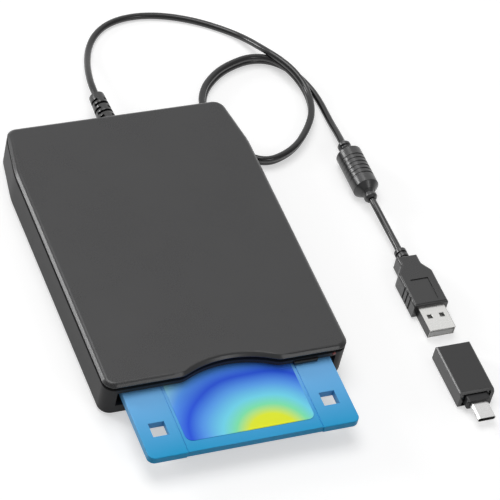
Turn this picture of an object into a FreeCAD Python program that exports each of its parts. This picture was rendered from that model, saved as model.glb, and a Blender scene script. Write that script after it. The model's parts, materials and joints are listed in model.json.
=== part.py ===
import FreeCAD, Part
import Sketcher
import math
import os

# External 3.5 inch floppy disk drive with a disk half out of its slot, a fixed USB lead with a
# ferrite sleeve, and a separate A to C adapter. Millimetres. X runs to the right, Y to the rear and
# Z up. The origin is on the table, under the middle of the case.

Vector = FreeCAD.Vector

doc = FreeCAD.newDocument("FloppyDrive")
sheet = doc.addObject("Spreadsheet::Sheet", "Sizes")


class Size:
    """A length that carries its number and the formula that ties it to the sheet."""

    def __init__(self, number, formula):
        self.number = number
        self.formula = formula

    @staticmethod
    def of(value):
        if isinstance(value, Size):
            return value
        return Size(float(value), "(%.6g)" % value)

    def joined(self, sign, other, number):
        return Size(number, "(%s %s %s)" % (self.formula, sign, other.formula))

    def __add__(self, other):
        other = Size.of(other)
        return self.joined("+", other, self.number + other.number)

    def __sub__(self, other):
        other = Size.of(other)
        return self.joined("-", other, self.number - other.number)

    def __mul__(self, other):
        other = Size.of(other)
        return self.joined("*", other, self.number * other.number)

    def __truediv__(self, other):
        other = Size.of(other)
        return self.joined("/", other, self.number / other.number)

    def __radd__(self, other):
        return Size.of(other) + self

    def __rsub__(self, other):
        return Size.of(other) - self

    def __rmul__(self, other):
        return Size.of(other) * self

    def __neg__(self):
        return 0 - self

    def root(self):
        return Size(math.sqrt(self.number), "sqrt(%s)" % self.formula)


rows = []


def size(name, value):
    """Write one driving dimension to the sheet and return it."""
    rows.append(name)
    sheet.set("A%d" % len(rows), name)
    sheet.set("B%d" % len(rows), "%g" % value)
    sheet.setAlias("B%d" % len(rows), name)
    return Size(float(value), "Sizes." + name)


# ---------------------------------------------------------------- driving dimensions

rear_taper = size("rear_taper", 3.8)
taper_length = size("taper_length", 24.8)
side_room = size("side_room", 2.2)
rear_bay = size("rear_bay", 19)
lid_room = size("lid_room", 1.85)
foot_height = size("foot_height", 1)
foot_radius = size("foot_radius", 4)
foot_round = size("foot_round", 0.4)
foot_sink = size("foot_sink", 0.6)
foot_inset_x = size("foot_inset_x", 12.5)
foot_inset_y = size("foot_inset_y", 15.5)
side_wall = size("side_wall", 1.8)
front_wall = size("front_wall", 2.2)
floor_thickness = size("floor_thickness", 1.6)
lid_thickness = size("lid_thickness", 1.6)
corner_radius = size("corner_radius", 5)
bend_radius = size("bend_radius", 40)
bevel = size("bevel", 1.3)
seam_drop = size("seam_drop", 2)
seam_groove = size("seam_groove", 0.5)
lid_groove = size("lid_groove", 0.4)
bottom_round = size("bottom_round", 1.2)
lip_thickness = size("lip_thickness", 1)
lip_height = size("lip_height", 1.6)

slot_side = size("slot_side", 2)
slot_below = size("slot_below", 3.15)
slot_above = size("slot_above", 0.95)
recess_width = size("recess_width", 41)
recess_depth = size("recess_depth", 5)
recess_x = size("recess_x", 1.2)
recess_blend = size("recess_blend", 8)
recess_wall = size("recess_wall", 1.8)

screw_radius = size("screw_radius", 0.9)
screw_head_radius = size("screw_head_radius", 1.9)
screw_head_height = size("screw_head_height", 1.3)
screw_length = size("screw_length", 12)
screw_play = size("screw_play", 0.2)
boss_radius = size("boss_radius", 2.5)
boss_merge = size("boss_merge", 0.1)
lid_boss_radius = size("lid_boss_radius", 1.9)
boss_height = size("boss_height", 6.9)
rear_boss_inset = size("rear_boss_inset", 8)

lamp_radius = size("lamp_radius", 0.9)
lamp_inset = size("lamp_inset", 6.5)
lamp_rise = size("lamp_rise", 1.3)
lamp_length = size("lamp_length", 2.4)
proud = size("proud", 0.2)

free_gap = size("free_gap", 0.3)
close_gap = size("close_gap", 0.05)
snug_gap = size("snug_gap", 0.02)
sheet_metal = size("sheet_metal", 0.8)

disk_width = size("disk_width", 90)
disk_length = size("disk_length", 94)
disk_thickness = size("disk_thickness", 3.3)
disk_rise = size("disk_rise", 5.75)
disk_reach = size("disk_reach", 33.2)
disk_corner = size("disk_corner", 3)
disk_edge = size("disk_edge", 0.4)
disk_wall = size("disk_wall", 1.1)
medium_margin = size("medium_margin", 2.1)
medium_room = size("medium_room", 0.5)
medium_thickness = size("medium_thickness", 0.12)
hub_radius = size("hub_radius", 12.5)
hub_room = size("hub_room", 0.7)
hub_lift = size("hub_lift", 0.15)
disk_hole = size("disk_hole", 6.7)
disk_hole_inset = size("disk_hole_inset", 8.5)
disk_hole_y = size("disk_hole_y", 13.7)
label_width = size("label_width", 54.8)
label_gap = size("label_gap", 2.1)
label_front = size("label_front", 5.4)
label_recess = size("label_recess", 0.3)
label_border = size("label_border", 1.6)
label_corner = size("label_corner", 3)
label_channel = size("label_channel", 0.5)
channel_depth = size("channel_depth", 0.25)
grip_setback = size("grip_setback", 0.45)
paper = size("paper", 0.2)
shutter_width = size("shutter_width", 30)
shutter_depth = size("shutter_depth", 25.5)
shutter_shift = size("shutter_shift", 7)
shutter_travel = size("shutter_travel", 13)
shutter_metal = size("shutter_metal", 0.25)
window_width = size("window_width", 9)
window_depth = size("window_depth", 20)
window_edge = size("window_edge", 3)
tab_length = size("tab_length", 5.6)
tab_thickness = size("tab_thickness", 1)
tab_track = size("tab_track", 0.4)

holder_drop = size("holder_drop", 2)
holder_front = size("holder_front", 11.5)
holder_lip = size("holder_lip", 3.3)
holder_clear = size("holder_clear", 1)
arm_slot = size("arm_slot", 18)
arm_slot_ahead = size("arm_slot_ahead", 13.5)
hub_window = size("hub_window", 14)
pin_radius = size("pin_radius", 1)
pin_play = size("pin_play", 0.15)
pin_below = size("pin_below", 1.45)
pin_front_inset = size("pin_front_inset", 26.5)
pin_rear_inset = size("pin_rear_inset", 11.8)
pin_cover = size("pin_cover", 2.4)
side_gap = size("side_gap", 0.4)
slide_travel = size("slide_travel", 4)
slide_front = size("slide_front", 14.5)
slide_gap = size("slide_gap", 0.7)
slide_beam = size("slide_beam", 12)
chassis_front = size("chassis_front", 9.5)

button_width = size("button_width", 10.5)
button_inset = size("button_inset", 19)
button_height = size("button_height", 1.6)
button_reach = size("button_reach", 1)
button_head = size("button_head", 3.7)
button_stem_width = size("button_stem_width", 7)
button_stem = size("button_stem", 7.8)
button_round = size("button_round", 0.5)

motor_board_side = size("motor_board_side", 40)
board_thickness = size("board_thickness", 1)
rotor_radius = size("rotor_radius", 15)
rotor_step = size("rotor_step", 0.65)
rotor_hub_radius = size("rotor_hub_radius", 9)
shaft_radius = size("shaft_radius", 1.5)

head_radius = size("head_radius", 32)
head_travel = size("head_travel", 15)
head_half = size("head_half", 1.5)
rail_x = size("rail_x", 11)
rail_play = size("rail_play", 0.1)
bracket_gap = size("bracket_gap", 1)
bracket_half = size("bracket_half", 3)
bracket_thickness = size("bracket_thickness", 1.2)
bracket_rise = size("bracket_rise", 2.6)
stop_gap = size("stop_gap", 0.5)
spring_gap = size("spring_gap", 2)
carriage_length = size("carriage_length", 6)
carriage_side = size("carriage_side", 4)
carriage_head = size("carriage_head", 1.6)
carriage_tongue = size("carriage_tongue", 1.1)
arm_width = size("arm_width", 10)
arm_pivot_back = size("arm_pivot_back", 2)
arm_pivot_drop = size("arm_pivot_drop", 0.55)
arm_lift = size("arm_lift", 0.45)
arm_pin_radius = size("arm_pin_radius", 0.75)
knuckle_half = size("knuckle_half", 1)
ear_gap = size("ear_gap", 1.6)
ear_thickness = size("ear_thickness", 1.9)
ear_over = size("ear_over", 1.4)
stepper_radius = size("stepper_radius", 5.2)
stepper_length = size("stepper_length", 11)
stepper_edge = size("stepper_edge", 0.6)
screw_seat = size("screw_seat", 3)

board_gap = size("board_gap", 1.5)
board_depth = size("board_depth", 13)
board_post = size("board_post", 2.4)
post_radius = size("post_radius", 2)
post_inset = size("post_inset", 3)
chip_side = size("chip_side", 10)
chip_depth = size("chip_depth", 9)
chip_height = size("chip_height", 1.4)

gland_z = size("gland_z", 8.5)
gland_length = size("gland_length", 20.6)
gland_base_radius = size("gland_base_radius", 4.1)
gland_tip_radius = size("gland_tip_radius", 3.4)
gland_neck_radius = size("gland_neck_radius", 2.95)
gland_root = size("gland_root", 2.2)
gland_flange = size("gland_flange", 2.5)
gland_rim = size("gland_rim", 0.4)
gland_edge = size("gland_edge", 0.6)
gland_core = size("gland_core", 2.05)
gland_slot = size("gland_slot", 1.2)
gland_pitch = size("gland_pitch", 5.1)
gland_first = size("gland_first", 2.6)

cord_diameter = size("cord_diameter", 3)
cord_floor = size("cord_floor", 1.55)
turn_rise = size("turn_rise", 2.95)
turn_spread = size("turn_spread", 1)
ferrite_x = size("ferrite_x", 99.6)
ferrite_y = size("ferrite_y", 29.7)
ferrite_radius = size("ferrite_radius", 5.75)
ferrite_length = size("ferrite_length", 25.4)
ferrite_round = size("ferrite_round", 2.6)
relief_radius = size("relief_radius", 2.9)
relief_length = size("relief_length", 4.3)
relief_neck = size("relief_neck", 0.8)
grip_pitch = size("grip_pitch", 2.2)
grip_width = size("grip_width", 0.8)
grip_depth = size("grip_depth", 0.35)
sleeve_wall = size("sleeve_wall", 1.2)
core_length = size("core_length", 18)

plug_x = size("plug_x", 101)
plug_back = size("plug_back", -16.5)
plug_length = size("plug_length", 33.1)
plug_width = size("plug_width", 15.7)
plug_height = size("plug_height", 8)
plug_edge = size("plug_edge", 1.2)
plug_neck_width = size("plug_neck_width", 9.4)
plug_neck_length = size("plug_neck_length", 5)
plug_flare = size("plug_flare", 4.5)
plug_bend = size("plug_bend", 2.5)
plug_relief = size("plug_relief", 5.5)
ring_radius = size("ring_radius", 2.7)
ring_length = size("ring_length", 1.6)
ring_pitch = size("ring_pitch", 2.6)
relief_core = size("relief_core", 2.1)
panel_width = size("panel_width", 8.2)
panel_length = size("panel_length", 12.1)
panel_front = size("panel_front", 2)
panel_depth = size("panel_depth", 0.45)
side_groove = size("side_groove", 1)
side_groove_depth = size("side_groove_depth", 0.4)
side_groove_first = size("side_groove_first", 4)
side_groove_pitch = size("side_groove_pitch", 3)
plug_shell_width = size("plug_shell_width", 12)
plug_shell_height = size("plug_shell_height", 4.5)
plug_shell_reach = size("plug_shell_reach", 12.7)
plug_shell_root = size("plug_shell_root", 2.3)
latch_x = size("latch_x", 2.8)
latch_hole = size("latch_hole", 2.2)
latch_inset = size("latch_inset", 6.3)
shell_metal = size("shell_metal", 0.3)
tongue_thickness = size("tongue_thickness", 1.9)

adapter_gap = size("adapter_gap", 9.6)
adapter_width = size("adapter_width", 15.6)
adapter_length = size("adapter_length", 26.6)
adapter_chamfer = size("adapter_chamfer", 0.6)
adapter_slope = size("adapter_slope", 1.6)
adapter_under = size("adapter_under", 0.6)
socket_depth = size("socket_depth", 13.5)
socket_gap = size("socket_gap", 0.15)
socket_metal = size("socket_metal", 0.35)
socket_inset = size("socket_inset", 0.1)
socket_back = size("socket_back", 0.8)
socket_tongue = size("socket_tongue", 1.6)
tongue_gap = size("tongue_gap", 0.2)
tongue_inset = size("tongue_inset", 1.2)
collar_width = size("collar_width", 11.2)
collar_height = size("collar_height", 4.8)
collar_length = size("collar_length", 2.7)
collar_round = size("collar_round", 1.6)
collar_margin = size("collar_margin", 0.6)
collar_seat = size("collar_seat", 0.8)
typec_width = size("typec_width", 8.25)
typec_height = size("typec_height", 2.4)
typec_reach = size("typec_reach", 8.2)
typec_back = size("typec_back", 1)

# ---------------------------------------------------------------- levels and lines that follow

# Heights, from the table up.
under = foot_height
floor_top = under + floor_thickness
chassis_top = floor_top + sheet_metal
board_top = chassis_top + board_thickness
disk_base = chassis_top + disk_rise
disk_middle = disk_base + disk_thickness / 2
disk_top = disk_base + disk_thickness
slot_bottom = disk_base - slot_below
slot_top = disk_top + slot_above
holder_lip_top = disk_base - free_gap
holder_under = disk_top + free_gap
holder_top = holder_under + sheet_metal
slide_under = holder_top + slide_gap
slide_top = slide_under + sheet_metal
lid_under = slide_top + lid_room
top = lid_under + lid_thickness
seam = top - seam_drop
boss_top = floor_top + boss_height
pin_z = disk_top - pin_below
rotor_base = board_top + free_gap + close_gap
rotor_top = disk_base - holder_drop - free_gap
button_base = disk_top + side_gap
button_top = button_base + button_height
lamp_z = slot_top + lamp_rise
rail_z = floor_top + stepper_radius + side_gap / 2
arm_pivot_z = holder_top - arm_pivot_drop
carriage_top = arm_pivot_z - carriage_head

# Half widths, from the middle of the disk out to the side walls.
disk_half = disk_width / 2
holder_inner = disk_half + free_gap
holder_outer = holder_inner + sheet_metal
slide_inner = holder_outer + side_gap
slide_outer = slide_inner + sheet_metal
chassis_inner = slide_outer + side_gap
chassis_outer = chassis_inner + sheet_metal
half_width = chassis_outer + side_room + side_wall
half_rear = half_width - rear_taper
slot_half = disk_half + slot_side
hole_x = disk_half - disk_hole_inset
medium_radius = disk_half - medium_margin
button_x = half_width - button_inset
lamp_x = half_width - lamp_inset
ear = arm_width / 2 + ear_gap
ear_outer = ear + ear_thickness

# Depths, counted back from the front face with a seated disk, then centred on the origin.
holder_reach = free_gap + disk_length + holder_clear
rail_reach = holder_reach + bracket_gap
carriage_reach = rail_reach + bracket_thickness + stop_gap + head_travel / 2
chassis_reach = carriage_reach + carriage_length + head_travel / 2 + spring_gap + bracket_thickness
case_depth = chassis_reach + rear_bay + side_wall

front = -case_depth / 2
rear = case_depth / 2
bend = rear - taper_length
holder_rear = front + holder_reach
rail_front = front + rail_reach
carriage_front = front + carriage_reach
carriage_rear = carriage_front + carriage_length
chassis_rear = front + chassis_reach
spindle_y = front + free_gap + disk_length - disk_half
head_y = spindle_y + head_radius
arm_slot_front = head_y - arm_slot_ahead
arm_pivot_y = carriage_rear - arm_pivot_back
pin_front_y = front + pin_front_inset
pin_rear_y = holder_rear - pin_rear_inset
pin_hole = pin_radius + pin_play
disk_front = front - disk_reach
disk_rear = disk_front + disk_length
hub_y = disk_rear - disk_half
shutter_track = shutter_metal + close_gap * 2
label_y = disk_front + label_front
label_end = disk_rear - shutter_depth - label_gap
label_zone = label_width / 2 + label_border
button_front = front - button_reach
recess_radius = (recess_width * recess_width / 4 + recess_depth * recess_depth) / (recess_depth * 2)
recess_y = front + recess_depth - recess_radius

# The board lies between a rear screw boss and the head's motor.
board_left = rear_boss_inset - half_rear + boss_radius + side_gap
board_right = rail_x - stepper_radius - board_gap
board_low = floor_top + board_post
board_y = chassis_rear + board_gap + board_depth / 2

core_radius = ferrite_radius - sleeve_wall

plug_z = plug_height / 2
plug_front = plug_back - plug_length
plug_shell_tip = plug_front - plug_shell_reach
adapter_y = plug_shell_tip - adapter_gap
socket_wall = adapter_y - socket_depth
adapter_end = adapter_y - adapter_length
collar_end = adapter_end - collar_length
collar_back = adapter_end + collar_seat

# ---------------------------------------------------------------- modelling helpers

pieces = []


def near(value, other):
    return abs(value - Size.of(other).number) < 0.02


def bind(thing, prop, value):
    thing.setExpression(prop, Size.of(value).formula)


class Piece:
    """One physical piece: a PartDesign body whose features are tied to the sheet."""

    def __init__(self, label):
        self.body = doc.addObject("PartDesign::Body", label)
        self.body.Label = label
        pieces.append(self.body)

    def sketch(self, plane, offset):
        flat = self.body.newObject("Sketcher::SketchObject", "Sketch")
        base = [f for f in self.body.Origin.OriginFeatures if f.Role == plane + "_Plane"]
        flat.AttachmentSupport = [(base[0], "")]
        flat.MapMode = "FlatFace"
        bind(flat, "AttachmentOffset.Base.z", offset)
        return flat

    def pin(self, flat, shape, point, x, y):
        for kind, value in (("DistanceX", x), ("DistanceY", y)):
            value = Size.of(value)
            held = Sketcher.Constraint(kind, -1, 1, shape, point, value.number)
            index = flat.addConstraint(held)
            bind(flat, "Constraints[%d]" % index, value)

    def outline(self, flat, points):
        """A closed polygon whose corners are tied to the sheet."""
        first = flat.GeometryCount
        corners = [Vector(Size.of(x).number, Size.of(y).number, 0) for x, y in points]
        count = len(points)
        for i in range(count):
            line = Part.LineSegment(corners[i], corners[(i + 1) % count])
            flat.addGeometry(line, False)
        for i in range(count):
            after = first + (i + 1) % count
            flat.addConstraint(Sketcher.Constraint("Coincident", first + i, 2, after, 1))
        for i, (x, y) in enumerate(points):
            self.pin(flat, first + i, 1, x, y)

    def ring(self, flat, x, y, radius):
        radius = Size.of(radius)
        centre = Vector(Size.of(x).number, Size.of(y).number, 0)
        shape = flat.addGeometry(Part.Circle(centre, Vector(0, 0, 1), radius.number), False)
        index = flat.addConstraint(Sketcher.Constraint("Radius", shape, radius.number))
        bind(flat, "Constraints[%d]" % index, radius)
        self.pin(flat, shape, 3, x, y)

    def pad(self, flat, length):
        feature = self.body.newObject("PartDesign::Pad", "Pad")
        feature.Profile = flat
        bind(feature, "Length", length)
        return feature

    def cut(self, flat, length):
        """Cut from the sketch along its normal, the way a pad grows, and see that it cut."""
        doc.recompute()
        before = self.body.Tip.Shape.Volume
        feature = self.body.newObject("PartDesign::Pocket", "Pocket")
        feature.Profile = flat
        feature.Reversed = True
        bind(feature, "Length", length)
        doc.recompute()
        if feature.Shape.Volume > before - 1e-6:
            raise RuntimeError("a pocket of %s cuts nothing" % self.body.Label)
        return feature

    def plate(self, points, low, high):
        flat = self.sketch("XY", low)
        self.outline(flat, points)
        return self.pad(flat, high - low)

    def cut_plate(self, points, low, high):
        flat = self.sketch("XY", low)
        self.outline(flat, points)
        return self.cut(flat, high - low)

    def block(self, x, y, z):
        return self.plate(box_points(x, y), z[0], z[1])

    def cut_block(self, x, y, z):
        return self.cut_plate(box_points(x, y), z[0], z[1])

    def disc(self, x, y, radius, z):
        flat = self.sketch("XY", z[0])
        self.ring(flat, x, y, radius)
        return self.pad(flat, z[1] - z[0])

    def bore(self, x, y, radius, z):
        flat = self.sketch("XY", z[0])
        self.ring(flat, x, y, radius)
        return self.cut(flat, z[1] - z[0])

    def rod(self, plane, across, up, radius, start, length):
        """A cylinder along the plane's normal, from start."""
        flat = self.sketch(plane, start)
        self.ring(flat, across, up, radius)
        return self.pad(flat, length)

    def drill(self, plane, across, up, radius, start, length):
        flat = self.sketch(plane, start)
        self.ring(flat, across, up, radius)
        return self.cut(flat, length)

    def turn(self, profile):
        """Revolve (radius, height) points about Z."""
        flat = self.sketch("XZ", 0)
        self.outline(flat, profile)
        feature = self.body.newObject("PartDesign::Revolution", "Revolution")
        feature.Profile = flat
        feature.ReferenceAxis = (flat, ["V_Axis"])
        feature.Angle = 360
        return feature

    def edges(self, test):
        doc.recompute()
        shape = self.body.Tip.Shape
        found = ["Edge%d" % (i + 1) for i, edge in enumerate(shape.Edges) if test(edge.BoundBox)]
        if not found:
            raise RuntimeError("no edge found to finish on %s" % self.body.Label)
        return found

    def dress(self, kind, prop, value, test):
        base = self.body.Tip
        names = self.edges(test)
        feature = self.body.newObject("PartDesign::" + kind, kind)
        feature.Base = (base, names)
        bind(feature, prop, value)

    def fillet(self, radius, test):
        self.dress("Fillet", "Radius", radius, test)

    def chamfer(self, width, test):
        self.dress("Chamfer", "Size", width, test)

    def repeat(self, feature, axis, pitch, count):
        """A row of one feature along an axis of its sketch, and see that all of it cut."""
        doc.recompute()
        before = self.body.Tip.Shape.Volume
        pattern = self.body.newObject("PartDesign::LinearPattern", "LinearPattern")
        pattern.Originals = [feature]
        pattern.Direction = (feature.Profile[0], [axis])
        pattern.Occurrences = count
        bind(pattern, "Length", pitch * (count - 1))
        self.body.Tip = pattern
        doc.recompute()
        if pattern.Shape.Volume > before - 1e-3:
            raise RuntimeError("the row on %s cuts nothing" % self.body.Label)

    def groove_row(self, plane, points, angle, pitch, count):
        """Part-turn grooves about Z in a row along it."""
        flat = self.sketch(plane, 0)
        self.outline(flat, points)
        groove = self.body.newObject("PartDesign::Groove", "Groove")
        groove.Profile = flat
        groove.ReferenceAxis = (flat, ["V_Axis"])
        groove.Midplane = True
        groove.Angle = angle
        self.repeat(groove, "V_Axis", pitch, count)

    def place(self, x, y, z, axis=(1, 0, 0), angle=0):
        self.body.Placement = FreeCAD.Placement(Vector(), FreeCAD.Rotation(Vector(*axis), angle))
        for name, value in (("x", x), ("y", y), ("z", z)):
            bind(self.body, "Placement.Base." + name, value)


def box_points(x, y):
    return [(x[0], y[0]), (x[1], y[0]), (x[1], y[1]), (x[0], y[1])]


def both(half):
    return (-half, half)


def upright(*places):
    """Edges that stand along Z at one of the places."""
    def test(box):
        if box.XLength > 0.02 or box.YLength > 0.02:
            return False
        return any(near(box.XMin, x) and near(box.YMin, y) for x, y in places)
    return test


def level(z):
    """Edges that lie at one height."""
    return lambda box: near(box.ZMin, z) and near(box.ZMax, z)


def case_outline(side, ahead, behind):
    """The case's plan, set in from the side, front and rear faces."""
    wide = half_width - side
    narrow = half_rear - side
    return [(-wide, front + ahead), (wide, front + ahead), (wide, bend),
            (narrow, rear - behind), (-narrow, rear - behind), (-wide, bend)]


def round_plan(piece, side, ahead, behind, radius):
    """Round the upright edges of a case outline: four corners and the two soft bends."""
    points = case_outline(side, ahead, behind)
    corners = [points[0], points[1], points[3], points[4]]
    piece.fillet(radius, upright(*corners))
    piece.fillet(bend_radius, upright(points[2], points[5]))


def screw_places():
    """The case's four screws: x, y, and the inner face's half width there."""
    inset = boss_radius - boss_merge
    x = half_width - side_wall - inset
    y = front + front_wall + inset
    rear_x = half_rear - rear_boss_inset
    rear_y = rear - rear_boss_inset
    return [(-x, y), (x, y), (rear_x, rear_y), (-rear_x, rear_y)]


def foot_places():
    x = half_width - foot_inset_x
    y = rear - foot_inset_y
    return [(-x, -y), (x, -y), (x, y), (-x, y)]


# ---------------------------------------------------------------- case


def cut_finger_recess(piece, low, high):
    piece.bore(recess_x, recess_y, recess_radius, (low, high))


def recess_corners():
    """Where the recess's arc meets the front face."""
    return [(recess_x - recess_width / 2, front), (recess_x + recess_width / 2, front)]


def bottom_case():
    tray = Piece("bottom_case")
    tray.plate(case_outline(0, 0, 0), under, seam)
    round_plan(tray, 0, 0, 0, corner_radius)
    tray.fillet(bottom_round, level(under))
    tray.chamfer(seam_groove, level(seam))
    tray.cut_plate(case_outline(side_wall, front_wall, side_wall), floor_top, seam)
    round_plan(tray, side_wall, front_wall, side_wall, corner_radius - side_wall)
    backing = recess_width / 2 + recess_wall
    tray.block((recess_x - backing, recess_x + backing),
               (front + front_wall / 2, front + recess_depth + recess_wall), (slot_top, seam))
    cut_finger_recess(tray, slot_top - 1, seam + 1)
    tray.fillet(recess_blend, upright(*recess_corners()))
    tray.cut_block(both(slot_half), (front - 1, front + front_wall + 1), (slot_bottom, slot_top))
    notch = button_width / 2 + free_gap
    tray.cut_block((button_x - notch, button_x + notch), (front - 1, front + front_wall + 1),
                   (slot_top - 1, button_top + free_gap))
    tray.drill("XZ", lamp_x, lamp_z, lamp_radius, -(front + front_wall + 1), front_wall + 2)
    tray.drill("XZ", 0, gland_z, gland_neck_radius + close_gap, -(rear + 1), side_wall + 2)
    for x, y in screw_places():
        tray.disc(x, y, boss_radius, (floor_top, boss_top))
        tray.bore(x, y, screw_head_radius + screw_play, (under - 1, under + screw_head_height + free_gap))
        tray.bore(x, y, screw_radius + screw_play, (under, boss_top + 1))
    for x, y in foot_places():
        tray.bore(x, y, foot_radius + close_gap, (under - 1, under + foot_sink))
    for x in (board_left + post_inset, board_right - post_inset):
        tray.disc(x, board_y, post_radius, (floor_top, board_low))


def top_cover():
    lid = Piece("top_cover")
    lid.plate(case_outline(0, 0, 0), seam, top)
    round_plan(lid, 0, 0, 0, corner_radius)
    cut_finger_recess(lid, seam - 1, top + 1)
    lid.fillet(recess_blend, upright(*recess_corners()))
    lid.chamfer(lid_groove, level(seam))
    lid.chamfer(bevel, level(top))
    lid.fillet(bevel / 3, level(top))
    inner = recess_depth + recess_wall
    lid.cut_plate(case_outline(side_wall, inner, side_wall), seam, lid_under)
    lip = side_wall + close_gap * 2
    lip_in = lip + lip_thickness
    for side in (-1, 1):
        lid.block(((half_width - lip) * side, (half_width - lip_in) * side),
                  (front + 16, bend - 4), (seam - lip_height, lid_under))
    lid.block(both(half_rear - corner_radius * 2), (rear - lip_in, rear - lip),
              (seam - lip_height, lid_under))
    for x, y in screw_places():
        lid.disc(x, y, lid_boss_radius, (boss_top, lid_under))
        lid.bore(x, y, screw_radius + snug_gap, (boss_top - 1, lid_under))


def rubber_feet():
    for i, (x, y) in enumerate(foot_places()):
        foot = Piece("foot_%d" % (i + 1))
        foot.turn([(0, 0), (foot_radius - foot_round, 0), (foot_radius, foot_round),
                   (foot_radius, foot_height + foot_sink), (0, foot_height + foot_sink)])
        foot.place(x, y, 0)


def case_screws():
    for i, (x, y) in enumerate(screw_places()):
        screw = Piece("case_screw_%d" % (i + 1))
        screw.turn([(0, 0), (screw_head_radius, 0), (screw_head_radius, screw_head_height),
                    (screw_radius, screw_head_height), (screw_radius, screw_length), (0, screw_length)])
        screw.place(x, y, under + free_gap)


def lamp_lens():
    lens = Piece("lamp_lens")
    wide = lamp_radius - close_gap
    lens.turn([(0, 0), (wide, 0), (wide, lamp_length - proud), (wide / 2, lamp_length), (0, lamp_length)])
    lens.place(lamp_x, front - proud + lamp_length, lamp_z, angle=90)


def cable_gland():
    """Tapered strain relief, slotted in turn above and below and from both sides."""
    gland = Piece("cable_gland")
    inner_end = side_wall + gland_flange
    rim = gland_base_radius + gland_rim
    gland.turn([(0, -inner_end), (rim, -inner_end), (rim, -side_wall), (gland_neck_radius, -side_wall),
                (gland_neck_radius, 0), (gland_base_radius, 0), (gland_base_radius, gland_root),
                (gland_tip_radius, gland_length - gland_edge),
                (gland_tip_radius - gland_edge, gland_length), (0, gland_length)])
    reach = rim + 1
    for plane, start in (("YZ", gland_first), ("XZ", gland_first + gland_pitch / 2)):
        for side in (-1, 1):
            gland.groove_row(plane, [(gland_core * side, start), (reach * side, start),
                                     (reach * side, start + gland_slot),
                                     (gland_core * side, start + gland_slot)], 130, gland_pitch, 3)
    gland.place(0, rear, gland_z, angle=-90)


# ---------------------------------------------------------------- drive mechanism


def pin_places():
    return [pin_front_y, pin_rear_y]


def chassis():
    """Pressed base with side walls, whose upright slots guide the disk holder's pins."""
    pan = Piece("chassis")
    start = front + chassis_front
    pan.block(both(chassis_outer), (start, chassis_rear), (floor_top, chassis_top))
    for side in (-1, 1):
        pan.block((chassis_inner * side, chassis_outer * side), (start + holder_clear * 2, rail_front),
                  (floor_top, pin_z + pin_cover))
    for y in pin_places():
        flat = pan.sketch("YZ", -(chassis_outer + 1))
        pan.outline(flat, box_points((y - pin_hole, y + pin_hole),
                                     (pin_z - holder_drop - pin_hole, pin_z + pin_hole)))
        pan.cut(flat, chassis_outer * 2 + 2)
    for y in (rail_front, chassis_rear - bracket_thickness):
        for x in (-rail_x, rail_x):
            pan.block((x - bracket_half, x + bracket_half), (y, y + bracket_thickness),
                      (floor_top, rail_z + bracket_rise))
    through = chassis_rear - rail_front + 2
    pan.drill("XZ", -rail_x, rail_z, shaft_radius + snug_gap, -(chassis_rear + 1), through)
    pan.drill("XZ", rail_x, rail_z, shaft_radius + close_gap, -(chassis_rear + 1), through)


def disk_holder():
    """Folded cassette that the disk slides into: roof, two flanks, lips and four guide pins."""
    holder = Piece("disk_holder")
    start = front + holder_front
    holder.block(both(holder_outer), (start, holder_rear), (holder_under, holder_top))
    for side in (-1, 1):
        holder.block((holder_inner * side, holder_outer * side), (start, holder_rear),
                     (holder_lip_top - sheet_metal, holder_top))
        holder.block(((holder_inner - holder_lip) * side, holder_outer * side), (start, holder_rear),
                     (holder_lip_top - sheet_metal, holder_lip_top))
        for y in pin_places():
            begin = holder_outer - sheet_metal / 4
            reach = chassis_outer - begin
            holder.rod("YZ", y, pin_z, pin_radius, begin if side > 0 else -chassis_outer, reach)
    roof = (holder_under - 1, holder_top + 1)
    holder.cut_block(both(arm_slot / 2), (arm_slot_front, holder_rear + 1), roof)
    holder.bore(0, spindle_y - hub_window / 2, hub_window, roof)


def ramp_outline(y):
    """The slanted slot that turns the slide's travel into the holder's drop."""
    run = (slide_travel * slide_travel + holder_drop * holder_drop).root()
    aside = pin_hole * holder_drop / run
    over = pin_hole * slide_travel / run
    end_y = y + slide_travel
    end_z = pin_z - holder_drop
    return [(y - aside, pin_z - over), (end_y - aside, end_z - over),
            (end_y + aside, end_z + over), (y + aside, pin_z + over)]


def slide_plate():
    """Sliding frame over the holder: its ramps lower the holder as it moves to the front."""
    slide = Piece("slide_plate")
    start = front + slide_front
    slide.block(both(slide_outer), (start, holder_rear), (slide_under, slide_top))
    for side in (-1, 1):
        slide.block((slide_inner * side, slide_outer * side), (start, holder_rear),
                    (chassis_top + free_gap, slide_top))
    stem = button_stem_width / 2
    slide.block((button_x - stem, button_x + stem),
                (button_front + button_head + slide_travel, start + 1), (slide_under, slide_top))
    plate = (slide_under - free_gap, slide_top + 1)
    slide.cut_block(both(arm_slot / 2), (arm_slot_front, holder_rear + 1), plate)
    slide.cut_block(both(slide_inner - slide_beam), (start + slide_beam, arm_slot_front - slide_beam), plate)
    through = slide_outer * 2 + 2
    for y in pin_places():
        flat = slide.sketch("YZ", -(slide_outer + 1))
        slide.outline(flat, ramp_outline(y))
        slide.cut(flat, through)
        slide.drill("YZ", y, pin_z, pin_hole, -(slide_outer + 1), through)
        slide.drill("YZ", y + slide_travel, pin_z - holder_drop, pin_hole, -(slide_outer + 1), through)


def eject_button():
    button = Piece("eject_button")
    head_back = button_front + button_head
    button.block((button_x - button_width / 2, button_x + button_width / 2),
                 (button_front, head_back), (button_base, button_top))
    button.fillet(button_round, lambda box: near(box.YMin, button_front) and near(box.YMax, button_front))
    stem = button_stem_width / 2
    button.block((button_x - stem, button_x + stem), (head_back - 1, head_back + button_stem),
                 (button_base, slide_under))


def motor_board():
    board = Piece("motor_board")
    half = motor_board_side / 2
    board.block(both(half), (spindle_y - half, spindle_y + half), (chassis_top, board_top))
    board.bore(0, spindle_y, shaft_radius + close_gap, (chassis_top - 1, board_top + 1))


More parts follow.
